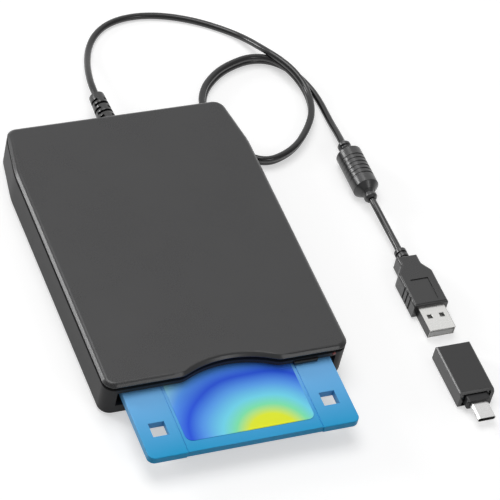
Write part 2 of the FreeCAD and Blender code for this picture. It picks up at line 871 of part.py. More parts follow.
def spindle_rotor():
    rotor = Piece("spindle_rotor")
    foot = chassis_top + close_gap
    rim = rotor_top - rotor_step
    rotor.turn([(0, foot), (shaft_radius, foot), (shaft_radius, rotor_base),
                (rotor_radius, rotor_base), (rotor_radius, rim), (rotor_hub_radius, rim),
                (rotor_hub_radius, rotor_top), (0, rotor_top)])
    rotor.place(0, spindle_y, 0)


def guide_rail():
    rail = Piece("guide_rail")
    rail.rod("XZ", -rail_x, rail_z, shaft_radius, -chassis_rear, chassis_rear - rail_front)


def stepper_motor():
    motor = Piece("stepper_motor")
    motor.turn([(0, 0), (stepper_radius, 0), (stepper_radius, stepper_length - stepper_edge),
                (stepper_radius - stepper_edge, stepper_length), (0, stepper_length)])
    motor.bore(0, 0, shaft_radius + close_gap, (-1, screw_seat + stop_gap))
    motor.place(rail_x, chassis_rear, rail_z, angle=-90)


def lead_screw():
    screw = Piece("lead_screw")
    end = chassis_rear + screw_seat
    screw.rod("XZ", rail_x, rail_z, shaft_radius, -end, end - rail_front)


def head_carriage():
    """Carriage on the rail and the screw, with the lower head on its tongue."""
    carriage = Piece("head_carriage")
    base = board_top + side_gap / 2
    carriage.block(both(rail_x + carriage_side), (carriage_front, carriage_rear), (base, carriage_top))
    for x in (-rail_x, rail_x):
        carriage.drill("XZ", x, rail_z, shaft_radius + rail_play, -(carriage_rear + 1), carriage_length + 2)
    carriage.block(both(arm_width / 2), (head_y - head_half * 2, carriage_front + 1),
                   (base, base + carriage_tongue))
    carriage.block(both(arm_width / 4), (head_y - head_half, head_y + head_half),
                   (base, rotor_top - rail_play))
    for side in (-1, 1):
        carriage.block((ear * side, ear_outer * side), (arm_pivot_y * 2 - carriage_rear, carriage_rear),
                       (carriage_top, arm_pivot_z + ear_over))
    carriage.drill("YZ", arm_pivot_y, arm_pivot_z, arm_pin_radius + snug_gap,
                   -(ear_outer + 1), (ear_outer + 1) * 2)


def arm_pin():
    pin = Piece("arm_pin")
    pin.rod("YZ", arm_pivot_y, arm_pivot_z, arm_pin_radius, -ear_outer, ear_outer * 2)


def head_arm():
    """Upper head arm, hinged at the back of the carriage."""
    arm = Piece("head_arm")
    beam = holder_under + arm_lift
    knuckle = ear - free_gap
    over = arm_pivot_z + knuckle_half
    arm.block(both(arm_width / 2), (head_y - head_half * 2, arm_pivot_y), (beam, over))
    arm.block(both(knuckle), (arm_pivot_y - head_half, arm_pivot_y + head_half),
              (arm_pivot_z - knuckle_half, over))
    arm.block(both(arm_width / 4), (head_y - head_half, head_y + head_half), (holder_under, beam))
    arm.drill("YZ", arm_pivot_y, arm_pivot_z, arm_pin_radius + close_gap, -(knuckle + 1), knuckle * 2 + 2)


def control_board():
    board = Piece("control_board")
    high = board_low + board_thickness
    board.block((board_left, board_right), (board_y - board_depth / 2, board_y + board_depth / 2),
                (board_low, high))


def control_chip():
    chip = Piece("control_chip")
    low = board_low + board_thickness
    x = (board_left + board_right) / 2
    chip.block((x - chip_side / 2, x + chip_side / 2), (board_y - chip_depth / 2, board_y + chip_depth / 2),
               (low, low + chip_height))


# ---------------------------------------------------------------- disk


def disk_hole_places():
    return [(-hole_x, disk_front + disk_hole_y), (hole_x, disk_front + disk_hole_y)]


def disk_shell(label, low, high, outer_face):
    """One half of the disk's shell: shared outline, holes, head window and recesses."""
    shell = Piece(label)
    shell.block(both(disk_half), (disk_front, disk_rear), (low, high))
    corners = [(-disk_half, disk_front), (disk_half, disk_front), (-disk_half, disk_rear)]
    shell.fillet(disk_corner, upright(*corners))
    shell.chamfer(disk_corner * 1.3, upright((disk_half, disk_rear)))
    shell.fillet(disk_edge, level(outer_face))
    shell.cut_block(both(label_zone), (disk_front - 1, disk_front + grip_setback), (low - 1, high + 1))
    half = disk_hole / 2
    for x, y in disk_hole_places():
        shell.cut_block((x - half, x + half), (y - half, y + half), (low - 1, high + 1))
    shell.cut_block(both(window_width / 2),
                    (disk_rear - window_edge - window_depth, disk_rear - window_edge), (low - 1, high + 1))
    return shell


def cut_shutter_recess(shell, face, edge):
    """Sink the shutter's track into one face and into the rear edge."""
    left = -(shutter_shift + shutter_width / 2) - free_gap
    right = shutter_width / 2 - shutter_shift + shutter_travel + free_gap
    shell.cut_block((left, right), (disk_rear - shutter_depth - free_gap, disk_rear + 1), face)
    shell.cut_block((left, right), (disk_rear - shutter_track, disk_rear + 1), edge)


def disk_upper_shell():
    shell = disk_shell("disk_upper_shell", disk_middle, disk_top, disk_top)
    over = disk_top + 1
    cut_shutter_recess(shell, (disk_top - shutter_track, over), (disk_middle - 1, over))
    shell.bore(0, hub_y, medium_radius + medium_room, (disk_middle - 1, disk_top - disk_wall))
    label_floor = disk_top - label_recess
    label_stop = label_end + label_border
    shell.cut_block(both(label_zone), (disk_front - 1, label_stop), (label_floor, over))
    for side in (-1, 1):
        shell.cut_block((label_zone * side, (label_zone - label_channel) * side),
                        (disk_front - 1, label_stop), (label_floor - channel_depth, over))


def disk_lower_shell():
    shell = disk_shell("disk_lower_shell", disk_base, disk_middle, disk_base)
    below = disk_base - 1
    over = disk_middle + 1
    cut_shutter_recess(shell, (below, disk_base + shutter_track), (below, over))
    shell.bore(0, hub_y, medium_radius + medium_room, (disk_base + disk_wall, over))
    shell.bore(0, hub_y, hub_radius + hub_room, (below, over))
    x, y = disk_hole_places()[0]
    half = disk_hole / 2
    shell.cut_block((x - half - tab_track, x + half + tab_track),
                    (y - half - tab_length - free_gap * 2, y + half),
                    (below, disk_base + tab_thickness + close_gap * 2))


def disk_label():
    label = Piece("disk_label")
    low = disk_top - label_recess
    half = label_width / 2
    label.block(both(half), (label_y, label_end), (low, low + paper))
    label.fillet(label_corner, upright((-half, label_y), (half, label_y), (half, label_end),
                                       (-half, label_end)))


def disk_medium():
    medium = Piece("disk_medium")
    half = medium_thickness / 2
    medium.disc(0, hub_y, medium_radius, (disk_middle - half, disk_middle + half))


def disk_hub():
    hub = Piece("disk_hub")
    low = disk_base + hub_lift
    hub.disc(0, hub_y, hub_radius, (low, disk_middle - medium_thickness / 2))
    hub.cut_block(both(2), (hub_y - 2, hub_y + 2), (low - 1, low + 1))
    hub.cut_block((6, 8.6), (hub_y - 4, hub_y + 4), (low - 1, low + 0.8))


def disk_shutter():
    """Folded metal shutter over the head windows, with its own window beside them."""
    shutter = Piece("disk_shutter")
    low = disk_base + close_gap
    high = disk_top - close_gap
    x = (-(shutter_shift + shutter_width / 2), shutter_width / 2 - shutter_shift)
    y = (disk_rear - shutter_depth, disk_rear - close_gap)
    shutter.block(x, y, (low, low + shutter_metal))
    shutter.block(x, (disk_rear - close_gap - shutter_metal, disk_rear - close_gap), (low, high))
    shutter.block(x, y, (high - shutter_metal, high))
    shutter.cut_block((-shutter_travel - window_width / 2, -shutter_travel + window_width / 2),
                      (disk_rear - window_edge - window_depth, disk_rear - window_edge),
                      (low - 1, high + 1))


def write_tab():
    tab = Piece("write_tab")
    x, y = disk_hole_places()[0]
    half = disk_hole / 2
    rear_edge = y - half - free_gap
    tab.block((x - half, x + half), (rear_edge - tab_length, rear_edge),
              (disk_base + close_gap, disk_base + close_gap + tab_thickness))


# ---------------------------------------------------------------- lead


def corner_radii(points):
    """The tangent arc's radius at each inner point: 0.45 of the shorter run over tan(half turn)."""
    radii = []
    for before, here, after in zip(points, points[1:], points[2:]):
        ahead = after - here
        behind = here - before
        turn = ahead.getAngle(behind)
        radii.append(0.45 * min(ahead.Length, behind.Length) / math.tan(turn / 2))
    return radii


def arc_at(before, here, after):
    """Tangent arc across one corner, with its two ends."""
    reach = 0.45 * min((here - before).Length, (after - here).Length)
    start = here + (before - here).normalize() * reach
    end = here + (after - here).normalize() * reach
    inward = ((before - here).normalize() + (after - here).normalize()).normalize()
    turn = (after - here).getAngle(here - before)
    radius = reach / math.tan(turn / 2)
    middle = here + inward * (radius / math.cos(turn / 2) - radius)
    return start, Part.Arc(start, middle, end), end


def smooth_wire(points, closed=False):
    """Straight runs joined by tangent arcs."""
    edges = []
    count = len(points)
    if closed:
        corners = [arc_at(points[i - 1], points[i], points[(i + 1) % count]) for i in range(count)]
        last = corners[-1][2]
    else:
        corners = [arc_at(*trio) for trio in zip(points, points[1:], points[2:])]
        last = points[0]
    for start, arc, end in corners:
        edges.append(Part.LineSegment(last, start).toShape())
        edges.append(arc.toShape())
        last = end
    if not closed:
        edges.append(Part.LineSegment(last, points[-1]).toShape())
    return Part.Wire(edges)


def add_shape(label, shape):
    feature = doc.addObject("Part::Feature", label)
    feature.Label = label
    feature.Shape = shape
    feature.Placement = FreeCAD.Placement()
    pieces.append(feature)
    return feature


def read(value):
    """A size, or a length that follows from some, as the sheet has it now."""
    return float(sheet.evalExpression(value.formula))


def cord_tube(label, route):
    """A plain round tube along a route."""
    points = [Vector(*point) for point in route]
    wire = smooth_wire(points)
    radius = read(cord_diameter) / 2
    start = Part.Circle(points[0], points[1] - points[0], radius).toShape()
    tube = wire.makePipeShell([Part.Wire([start])], True, True)
    expected = math.pi * radius * radius * wire.Length
    if abs(tube.Volume - expected) > 0.01 * expected:
        raise RuntimeError("%s has %.1f mm3, not %.1f" % (label, tube.Volume, expected))
    radii = ", ".join("%.0f" % value for value in corner_radii(points))
    print("%s: %.1f mm long, radii %s" % (label, wire.Length, radii))
    add_shape(label, tube)


doc.recompute()

on_table = read(cord_floor)
gland_tip_y = read(rear + gland_length)
exit_height = read(gland_z)
sleeve_height = read(ferrite_radius)
sleeve_x = read(ferrite_x)
sleeve_back = read(ferrite_y + ferrite_length / 2 + relief_length)
sleeve_front = read(ferrite_y - ferrite_length / 2 - relief_length)
plug_line = read(plug_x)
plug_entry = read(plug_back)
plug_middle = read(plug_z)

# From the gland down to the table, out in a wide arc and round to the loop.
gland_route = [
    (0, gland_tip_y, exit_height), (0, gland_tip_y + 5.5, exit_height), (1.4, gland_tip_y + 13.1, 7),
    (3.4, 112.7, 5.1), (6.1, 120.3, 3), (9.5, 127.9, on_table), (14.5, 135, on_table),
    (21.9, 140.6, on_table), (31.2, 143.4, on_table), (42, 143.4, on_table), (53.4, 140.5, on_table),
    (64.5, 135.2, on_table), (74.4, 128.2, on_table), (82, 120, 1.8), (87.8, 110.6, 3.4), (91.5, 101.6, 4.4)]

# The middle line of the two turns of the loop, beside the case's rear right corner.
loop_route = [
    (97.9, 82.5), (95.4, 69.6), (88, 59.9), (79, 50.7), (69, 46), (62.4, 45.6), (57, 48.7), (53.95, 54),
    (53, 61.2), (51.5, 70), (48.5, 80), (48.9, 89.8), (57.3, 97.6), (67.3, 104.2), (79, 107.7),
    (89, 104.2), (95.5, 95)]

# Out from under the loop and along the table to the ferrite sleeve.
ferrite_route = [
    (96.4, 92.4, on_table), (99.9, 86.2, on_table), (101.5, 78, on_table), (101.7, 70, on_table),
    (101.5, 62.6, 1.9), (100.8, 55.8, 3.4), (sleeve_x, sleeve_back, sleeve_height)]

plug_route = [
    (sleeve_x, sleeve_front, sleeve_height), (sleeve_x + 0.3, sleeve_front - 5.6, 5.4),
    (sleeve_x + 0.8, sleeve_front - 11.6, 4.6), (sleeve_x + 1.2, sleeve_front - 17.6, 4),
    (plug_line, plug_entry + 6, 3.8), (plug_line, plug_entry, plug_middle)]


def cord_loop():
    """The two turns, one on the other, as one closed ring of their outer shape."""
    half = read((cord_diameter + turn_spread) / 2)
    base = on_table - read(cord_diameter) / 2
    line = smooth_wire([Vector(x, y, base) for x, y in loop_route], closed=True)
    wide = line.makeOffset2D(half, 0, False, False, False)
    tight = line.makeOffset2D(-half, 0, False, False, False)
    outer, inner = sorted((wide, tight), key=lambda wire: -Part.Face(wire).Area)
    height = Vector(0, 0, read(cord_diameter + turn_rise))
    ring = Part.Face(outer).cut(Part.Face(inner)).Faces[0].extrude(height)
    print("cord_loop: %.1f mm round its middle line" % line.Length)
    add_shape("cord_loop", ring)


def ferrite_sleeve():
    """Moulded sleeve, ringed at its ends and grooved over its top, round a ferrite ring on the cord."""
    bore = cord_diameter / 2
    half = ferrite_length / 2
    end = half + relief_length
    inside = core_length / 2
    wide = ferrite_radius
    step = relief_length / 4
    neck = relief_radius - relief_neck
    shell = Piece("ferrite_shell")
    outer = [(neck, -end), (relief_radius, step - end), (relief_radius, step * 2 - end),
             (neck, step * 2.5 - end), (neck, step * 3 - end), (relief_radius, -half),
             (wide - ferrite_round, -half), (wide, ferrite_round - half)]
    mirrored = [(radius, -height) for radius, height in reversed(outer)]
    hollow = [(bore, end), (bore, inside), (core_radius, inside), (core_radius, -inside),
              (bore, -inside), (bore, -end)]
    shell.turn(outer + mirrored + hollow)
    crescent = shell.sketch("XY", -(grip_pitch * 5 + grip_width) / 2)
    shell.ring(crescent, 0, 0, wide + 1)
    shell.ring(crescent, 0, grip_depth, wide)
    shell.repeat(shell.cut(crescent, grip_width), "N_Axis", grip_pitch, 6)

    core = Piece("ferrite_core")
    core.turn([(bore, -inside), (core_radius, -inside), (core_radius, inside), (bore, inside)])

    cord = Piece("cord_in_sleeve")
    cord.disc(0, 0, bore, (-end, end))
    for piece in (shell, core, cord):
        piece.place(ferrite_x, ferrite_y, ferrite_radius, angle=-90)


def across(half, middle=0):
    return (middle - half, middle + half)


def plug_body():
    """Overmoulding with a ringed strain relief, a neck and two shoulders."""
    neck = plug_neck_width / 2
    half = plug_width / 2
    body = Piece("plug_body")
    ring_end = plug_back - plug_relief
    flare = ring_end - plug_neck_length
    full = flare - plug_flare
    low, high = across(plug_height / 2, plug_z)
    body.plate([(plug_x - half, plug_front), (plug_x + half, plug_front), (plug_x + half, full),
                (plug_x + neck, flare), (plug_x + neck, ring_end), (plug_x - neck, ring_end),
                (plug_x - neck, flare), (plug_x - half, full)], low, high)
    body.fillet(plug_bend, upright((plug_x - half, full), (plug_x + half, full),
                                   (plug_x - neck, flare), (plug_x + neck, flare)))
    for z in (high, low):
        body.fillet(plug_edge, level(z))
    for start in (plug_back, plug_back - ring_pitch):
        body.rod("XZ", plug_x, plug_z, ring_radius, -start, ring_length)
    body.rod("XZ", plug_x, plug_z, relief_core, 1 - plug_back, plug_relief)
    body.cut_block(across(panel_width / 2, plug_x),
                   (plug_front + panel_front, plug_front + panel_front + panel_length),
                   (high - panel_depth, high + 1))
    for side in (-1, 1):
        for i in range(3):
            start = plug_front + side_groove_first + side_groove_pitch * i
            body.cut_block((plug_x + (half - side_groove_depth) * side, plug_x + (half + 1) * side),
                           (start, start + side_groove), (low - 1, high + 1))
    body.cut_block(across(plug_shell_width / 2, plug_x), (plug_front - 1, plug_front + plug_shell_root),
                   across(plug_shell_height / 2, plug_z))


def plug_shell():
    wide = plug_shell_width / 2
    tall = plug_shell_height / 2
    root = plug_front + plug_shell_root
    shell = Piece("plug_shell")
    shell.block(across(wide, plug_x), (plug_shell_tip, root), across(tall, plug_z))
    shell.cut_block(across(wide - shell_metal, plug_x), (plug_shell_tip - 1, root + 1),
                    across(tall - shell_metal, plug_z))
    for side in (-1, 1):
        shell.cut_block(across(latch_hole / 2, plug_x + latch_x * side),
                        (plug_shell_tip + latch_inset, plug_shell_tip + latch_inset + latch_hole),
                        (plug_z, plug_z + tall + 1))


def plug_tongue():
    """The white insulator: a block at the root and the contacts' tongue along the floor."""
    wide = plug_shell_width / 2 - shell_metal
    tall = plug_shell_height / 2 - shell_metal
    root = plug_front + plug_shell_root
    tongue = Piece("plug_tongue")
    tongue.block(across(wide, plug_x), (plug_front - free_gap, root), across(tall, plug_z))
    tongue.block(across(wide - close_gap * 2, plug_x), (plug_shell_tip + stop_gap, root),
                 (plug_z - tall, plug_z - tall + tongue_thickness))


def socket_size(extra):
    """Half width and half height round the plug's shell."""
    return plug_shell_width / 2 + socket_gap + extra, plug_shell_height / 2 + socket_gap + extra


def adapter_body():
    low, high = across(plug_height / 2, plug_z)
    body = Piece("adapter_body")
    body.block(across(adapter_width / 2, plug_x), (adapter_end, adapter_y), (low, high))
    on_top = level(high)
    slope_end = adapter_end + adapter_slope
    body.chamfer(adapter_slope, lambda box: on_top(box) and near(box.YMax, adapter_end))
    body.chamfer(adapter_chamfer, lambda box: on_top(box) and not near(box.YMax, slope_end))
    body.chamfer(adapter_under, level(low))
    wide, tall = socket_size(socket_metal)
    body.cut_block(across(wide, plug_x), (socket_wall, adapter_y + 1), across(tall, plug_z))
    body.cut_block(across(collar_width / 2 + collar_margin, plug_x), (adapter_end - 1, collar_back),
                   across(collar_height / 2 + collar_margin, plug_z))


def adapter_socket():
    liner = Piece("adapter_socket")
    wide, tall = socket_size(socket_metal)
    liner.block(across(wide, plug_x), (socket_wall, adapter_y - socket_inset), across(tall, plug_z))
    wide, tall = socket_size(0)
    liner.cut_block(across(wide, plug_x), (socket_wall - 1, adapter_y + 1), across(tall, plug_z))


def adapter_tongue():
    """The socket's back wall and contact tongue, which fills the space above the plug's own."""
    wide, tall = socket_size(0)
    tongue = Piece("adapter_tongue")
    tongue.block(across(wide, plug_x), (socket_wall, socket_wall + socket_back), across(tall, plug_z))
    low = plug_z - plug_shell_height / 2 + shell_metal + tongue_thickness + tongue_gap
    tongue.block(across(plug_shell_width / 2 - shell_metal - tongue_gap, plug_x),
                 (socket_wall, adapter_y - tongue_inset), (low, low + socket_tongue))


def adapter_collar():
    collar = Piece("adapter_collar")
    collar.block(across(collar_width / 2, plug_x), (collar_end, collar_back),
                 across(collar_height / 2, plug_z))
    collar.fillet(collar_round, lambda box: box.YLength > 1 and box.XLength < 0.02 and box.ZLength < 0.02)


def typec_shell():
    """A flat tube with round sides, open at the tip."""
    shell = Piece("typec_shell")
    radius = typec_height / 2
    hollow = radius - shell_metal
    flat_half = typec_width / 2 - radius
    tip = collar_end - typec_reach
    back = collar_end - typec_back
    ends = [plug_x - flat_half, plug_x + flat_half]
    shell.block(ends, (tip, collar_end), across(radius, plug_z))
    for x in ends:
        shell.rod("XZ", x, plug_z, radius, -collar_end, typec_reach)
    shell.cut_block(ends, (tip - 1, back), across(hollow, plug_z))
    for x in ends:
        shell.drill("XZ", x, plug_z, hollow, -back, typec_reach)


# ---------------------------------------------------------------- build and write


def build():
    bottom_case()
    top_cover()
    rubber_feet()
    case_screws()
    lamp_lens()
    cable_gland()
    chassis()
    disk_holder()
    slide_plate()
    eject_button()
    motor_board()
    spindle_rotor()
    guide_rail()
    stepper_motor()
    lead_screw()
    head_carriage()
    arm_pin()
    head_arm()
    control_board()
    control_chip()
    disk_upper_shell()
    disk_lower_shell()
    disk_label()
    disk_medium()
    disk_hub()
    disk_shutter()
    write_tab()
    cord_tube("cord_from_gland", gland_route)
    cord_loop()
    cord_tube("cord_to_ferrite", ferrite_route)
    ferrite_sleeve()
    cord_tube("cord_to_plug", plug_route)
    plug_body()
    plug_shell()
    plug_tongue()
    adapter_body()
    adapter_socket()
    adapter_tongue()
    adapter_collar()
    typec_shell()


def check():
    doc.recompute()
    for thing in doc.Objects:
        if "Invalid" in thing.State or "Error" in thing.State:
            raise RuntimeError("%s is %s" % (thing.Label, thing.State))
    for piece in pieces:
        if piece.Shape.isNull() or not piece.Shape.isValid():
            raise RuntimeError("%s has no sound shape" % piece.Label)


def write():
    os.makedirs("parts", exist_ok=True)
    for piece in pieces:
        piece.Shape.exportStep("parts/%s.step" % piece.Label)
    print("%d pieces written" % len(pieces))


build()
check()
write()
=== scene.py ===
import bpy
import bmesh
import json
import math
from mathutils import Matrix, Vector

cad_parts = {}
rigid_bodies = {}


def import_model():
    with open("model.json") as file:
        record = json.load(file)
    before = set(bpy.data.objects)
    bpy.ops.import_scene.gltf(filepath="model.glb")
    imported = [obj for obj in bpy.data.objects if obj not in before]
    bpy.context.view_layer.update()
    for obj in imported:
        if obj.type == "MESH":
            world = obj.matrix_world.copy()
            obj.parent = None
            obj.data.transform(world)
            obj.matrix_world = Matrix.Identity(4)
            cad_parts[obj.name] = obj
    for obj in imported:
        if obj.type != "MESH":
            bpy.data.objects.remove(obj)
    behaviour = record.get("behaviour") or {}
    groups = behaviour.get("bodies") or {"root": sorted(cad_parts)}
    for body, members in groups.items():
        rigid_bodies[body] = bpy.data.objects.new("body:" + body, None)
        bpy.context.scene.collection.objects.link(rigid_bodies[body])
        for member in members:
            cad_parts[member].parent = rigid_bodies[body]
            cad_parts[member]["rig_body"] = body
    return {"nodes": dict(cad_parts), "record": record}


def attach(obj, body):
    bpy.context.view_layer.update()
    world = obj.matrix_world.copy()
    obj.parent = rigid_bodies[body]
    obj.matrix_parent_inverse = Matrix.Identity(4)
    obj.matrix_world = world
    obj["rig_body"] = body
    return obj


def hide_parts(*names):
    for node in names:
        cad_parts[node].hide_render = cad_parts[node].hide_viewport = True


# External floppy disk drive: dresses the jointed model, lays its lead and lights it.
# Metres, the same frame as the model.

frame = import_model()
nodes = frame["nodes"]
slotOf = {part["node"]: part["material_slot"] for part in frame["record"]["subparts"]}
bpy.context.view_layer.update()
mm = 0.001


def addObject(name, data):
    piece = bpy.data.objects.new(name, data)
    bpy.context.scene.collection.objects.link(piece)
    return piece


# Camera and cords come first.

camera = {
    "azimuth": -31.568,  # degrees round the object from its front
    "elevation": 46.311,
    "roll": 14.817,
    "distance": 1.2206,
    "target": (0.03925, 0.00064, 0),
    "lens": 208.83,
    "sensor": 36,
    "nearest": 0.01,
    "farthest": 20,
}


def addCamera(view):
    azimuth, elevation, roll = (math.radians(view[key]) for key in ("azimuth", "elevation", "roll"))
    back = Vector((math.sin(azimuth) * math.cos(elevation), -math.cos(azimuth) * math.cos(elevation),
                   math.sin(elevation)))
    right = (-back).cross(Vector((0, 0, 1))).normalized()
    up = right.cross(-back)
    rolledRight = right * math.cos(roll) + up * math.sin(roll)
    rolledUp = up * math.cos(roll) - right * math.sin(roll)
    turn = Matrix((rolledRight, rolledUp, back)).transposed().to_4x4()
    turn.translation = Vector(view["target"]) + back * view["distance"]
    data = bpy.data.cameras.new("camera")
    data.lens = view["lens"]
    data.sensor_width = view["sensor"]
    data.clip_start = view["nearest"]
    data.clip_end = view["farthest"]
    holder = addObject("camera", data)
    holder.matrix_world = turn
    bpy.context.scene.camera = holder


addCamera(camera)
print("camera set")


onTable = 1.55  # height of the lead's middle where it lies down

lead = {  # millimetres
    "diameter": 3,
    "length": 612,
    "exit": (0, 92.1, 8.5),
    "fromGland": [
        (0, 91.1, 8.5), (0, 97.6, 8.5), (1.4, 105.2, 7), (3.4, 112.7, 5.1), (6.1, 120.3, 3),
        (9.5, 127.9, onTable), (14.5, 135, onTable), (21.9, 140.6, onTable), (31.2, 143.4, onTable),
        (42, 143.4, onTable), (53.4, 140.5, onTable), (64.5, 135.2, onTable), (74.4, 128.2, onTable),
        (81.2, 120.2, 2.8), (85.1, 108.6, 6.6), (89.9, 100, 7.6), (94.2, 91.6, 7)],
    "loop": [  # middle of the two turns, clockwise from the rear right; the last two only close it
        (97.9, 82.5), (95.4, 69.6), (88, 59.9), (79, 50.7), (69, 46), (62.4, 45.6), (57, 48.7), (53.95, 54),
        (53, 61.2), (51.5, 70), (46, 80.3), (50.7, 91.7), (59.5, 100), (67.9, 104.6), (79, 107.5),
        (89, 104.2), (95.5, 95)],
    "upperTurn": {"height": 4.5, "outward": 0.35, "shift": -0.3,
                  "aside": {0: -0.6, 1: -0.7, 12: 0.2, 13: -0.2, 14: -0.2}},
    "descent": [(88.88, 104.04, 4.3), (94.76, 94.7, 3.5)],
    "lowerTurn": {"height": onTable, "outward": -0.35, "shift": 0.3, "aside": {}},
    "toPlug": [
        (89.61, 104.99, onTable), (97.07, 95.65, onTable), (100.4, 85.3, onTable), (101.4, 77, onTable),
        (101.4, 69.2, onTable), (101.3, 62.2, 1.9), (100.8, 55.6, 3.4), (99.6, 46.7, 5.75),
        (99.6, 37, 5.75), (99.6, 22.5, 5.75), (99.6, 12.7, 5.75), (99.9, 7.1, 5.4),
        (100.4, 1.1, 4.6), (100.8, -4.9, 4), (101, -10.5, 3.8), (101, -18, 4)],
}


def turnPoints(middle, turn):
    points = []
    for i in range(len(middle) - 2):
        along = Vector(middle[i + 1]) - Vector(middle[i - 1])
        aside = Vector((-along.y, along.x)).normalized() * turn["aside"].get(i, turn["outward"])
        points.append((middle[i][0] + aside.x + turn["shift"], middle[i][1] + aside.y + turn["shift"],
                       turn["height"]))
    return points


def leadPoints(cord):
    return (cord["fromGland"] + turnPoints(cord["loop"], cord["upperTurn"]) + cord["descent"]
            + turnPoints(cord["loop"], cord["lowerTurn"]) + cord["toPlug"])


cordForm = {"order": 3, "steps": 10, "roundness": 6}


def layCord(name, points, diameter):
    data = bpy.data.curves.new(name, "CURVE")
    data.dimensions = "3D"
    data.bevel_depth = 1  # times each point's radius
    data.bevel_resolution = cordForm["roundness"]
    data.resolution_u = cordForm["steps"]
    data.use_fill_caps = True
    spline = data.splines.new("NURBS")
    spline.points.add(len(points) - 1)
    for place, (x, y, z) in zip(spline.points, points):
        place.co = (x * mm, y * mm, z * mm, 1)
        place.radius = diameter / 2 * mm
    spline.order_u = cordForm["order"]
    spline.use_endpoint_u = True
    return addObject(name, data)


cord = layCord("lead", leadPoints(lead), lead["diameter"])
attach(cord, "drive")
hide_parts("cord_from_gland", "cord_loop", "cord_to_ferrite", "cord_in_sleeve", "cord_to_plug")
print("lead laid")


# Shader maths.


class Wire:  # an output socket that takes part in sums
    def __init__(self, tree, socket):
        self.tree = tree
        self.socket = socket

    def sum(self, operation, first, second):
        return self.tree.add("ShaderNodeMath", {"operation": operation}, {0: first, 1: second})

    def __add__(self, other):
        return self.sum("ADD", self, other)

    def __radd__(self, other):
        return self.sum("ADD", other, self)

    def __sub__(self, other):
        return self.sum("SUBTRACT", self, other)

    def __rsub__(self, other):
        return self.sum("SUBTRACT", other, self)

    def __mul__(self, other):
        return self.sum("MULTIPLY", self, other)

    def __rmul__(self, other):
        return self.sum("MULTIPLY", other, self)

    def __truediv__(self, other):
        return self.sum("DIVIDE", self, other)

    def __pow__(self, other):
        return self.sum("POWER", self, other)

    def __gt__(self, other):
        return self.sum("GREATER_THAN", self, other)

    def __lt__(self, other):
        return self.sum("LESS_THAN", self, other)


class Tree:  # the nodes of one material or world
    def __init__(self, owner):
        owner.use_nodes = True
        self.owner = owner
        self.nodes = owner.node_tree.nodes
        self.links = owner.node_tree.links
        self.nodes.clear()

    def add(self, kind, settings=None, inputs=None, output=0):
        node = self.nodes.new(kind)
        for key, value in (settings or {}).items():
            if key == "stops":
                self.setStops(node.color_ramp, value)
            else:
                setattr(node, key, value)
        for key, value in (inputs or {}).items():
            if isinstance(value, Wire):
                self.links.new(value.socket, node.inputs[key])
            else:
                node.inputs[key].default_value = value
        if isinstance(output, tuple):
            return [Wire(self, node.outputs[name]) for name in output]
        return Wire(self, node.outputs[output]) if node.outputs else None

    def setStops(self, ramp, stops):
        while len(ramp.elements) < len(stops):
            ramp.elements.new(1)
        for element, (position, colour) in zip(ramp.elements, stops):
            element.position = position
            element.color = (*colour, 1)

    def place(self):
        return self.add("ShaderNodeTexCoord", output="Object")

    def axes(self):
        return self.add("ShaderNodeSeparateXYZ", {}, {0: self.place()}, ("X", "Y", "Z"))

    def rays(self):
        return self.add("ShaderNodeLightPath", {}, {},
                        ("Is Camera Ray", "Is Glossy Ray", "Is Transmission Ray"))

    def noise(self, scale, detail=2, stretch=None):
        place = self.place()
        if stretch:
            place = self.add("ShaderNodeMapping", {}, {"Vector": place, "Scale": stretch})
        return self.add("ShaderNodeTexNoise", {}, {"Vector": place, "Scale": scale, "Detail": detail})

    def mix(self, factor, first, second):
        return self.add("ShaderNodeMix", {"data_type": "RGBA"}, {0: factor, 6: first, 7: second}, 2)

    def clip(self, value):
        return self.add("ShaderNodeClamp", {}, {0: value})

    def surface(self, **inputs):
        named = {key.replace("_", " "): value for key, value in inputs.items()}
        self.finishWith(self.add("ShaderNodeBsdfPrincipled", {}, named))

    def finishWith(self, shader):
        self.add("ShaderNodeOutputMaterial", {}, {"Surface": shader})

    def bump(self, height, strength, distance):
        return self.add("ShaderNodeBump", {}, {"Height": height, "Strength": strength,
                                               "Distance": distance * mm})


def material(name):
    return Tree(bpy.data.materials.new(name))


def tinted(colour, share=1):
    return (*(part * share for part in colour), 1)


def shade(value):
    return tinted((value, value, value))


# Finishes.

plastics = {  # colour, roughness, shine, grains per metre, grain strength
    "casePlastic": ((0.038, 0.038, 0.039), 0.48, 0.18, 2600, 0.16),
    "lidPlastic": ((0.036, 0.036, 0.037), 0.28, 0.5, 2600, 0.06),
    "buttonPlastic": ((0.016, 0.016, 0.017), 0.32, 0.4, 2400, 0.06),
    "glandRubber": ((0.014, 0.014, 0.0145), 0.26, 0.75, 2200, 0.05),
    "sleevePlastic": ((0.024, 0.024, 0.025), 0.3, 0.8, 2200, 0.06),
    "plugPlastic": ((0.012, 0.012, 0.0125), 0.28, 0.75, 2600, 0.05),
    "adapterShell": ((0.009, 0.009, 0.0095), 0.22, 0.62, 3200, 0.03),
    "collarPlastic": ((0.012, 0.012, 0.013), 0.4, 0.4, 2600, 0.06),
    "mechanismPlastic": ((0.03, 0.03, 0.03), 0.5, 0.5, 1800, 0.1),
    "tabPlastic": ((0.02, 0.02, 0.022), 0.5, 0.4, 1800, 0.1),
    "footRubber": ((0.02, 0.02, 0.02), 0.72, 0.3, 1400, 0.25),
    "insulator": ((0.93, 0.93, 0.92), 0.45, 0.5, 1800, 0.06),
}


plasticSkin = {"patches": 38, "deep": 0.9, "pale": 1.1, "polish": 0.05, "patchMatt": 0.06,
               "grainMatt": 0.04, "grainDepth": 0.06}

# painted shade: a near-black band at the top of the case wall, under the lid, stands in for the shadow in
# the seam groove
paintedSeamShade = {"bottom": 15.15, "blend": 0.3, "shade": 0.004, "matt": 0.4}


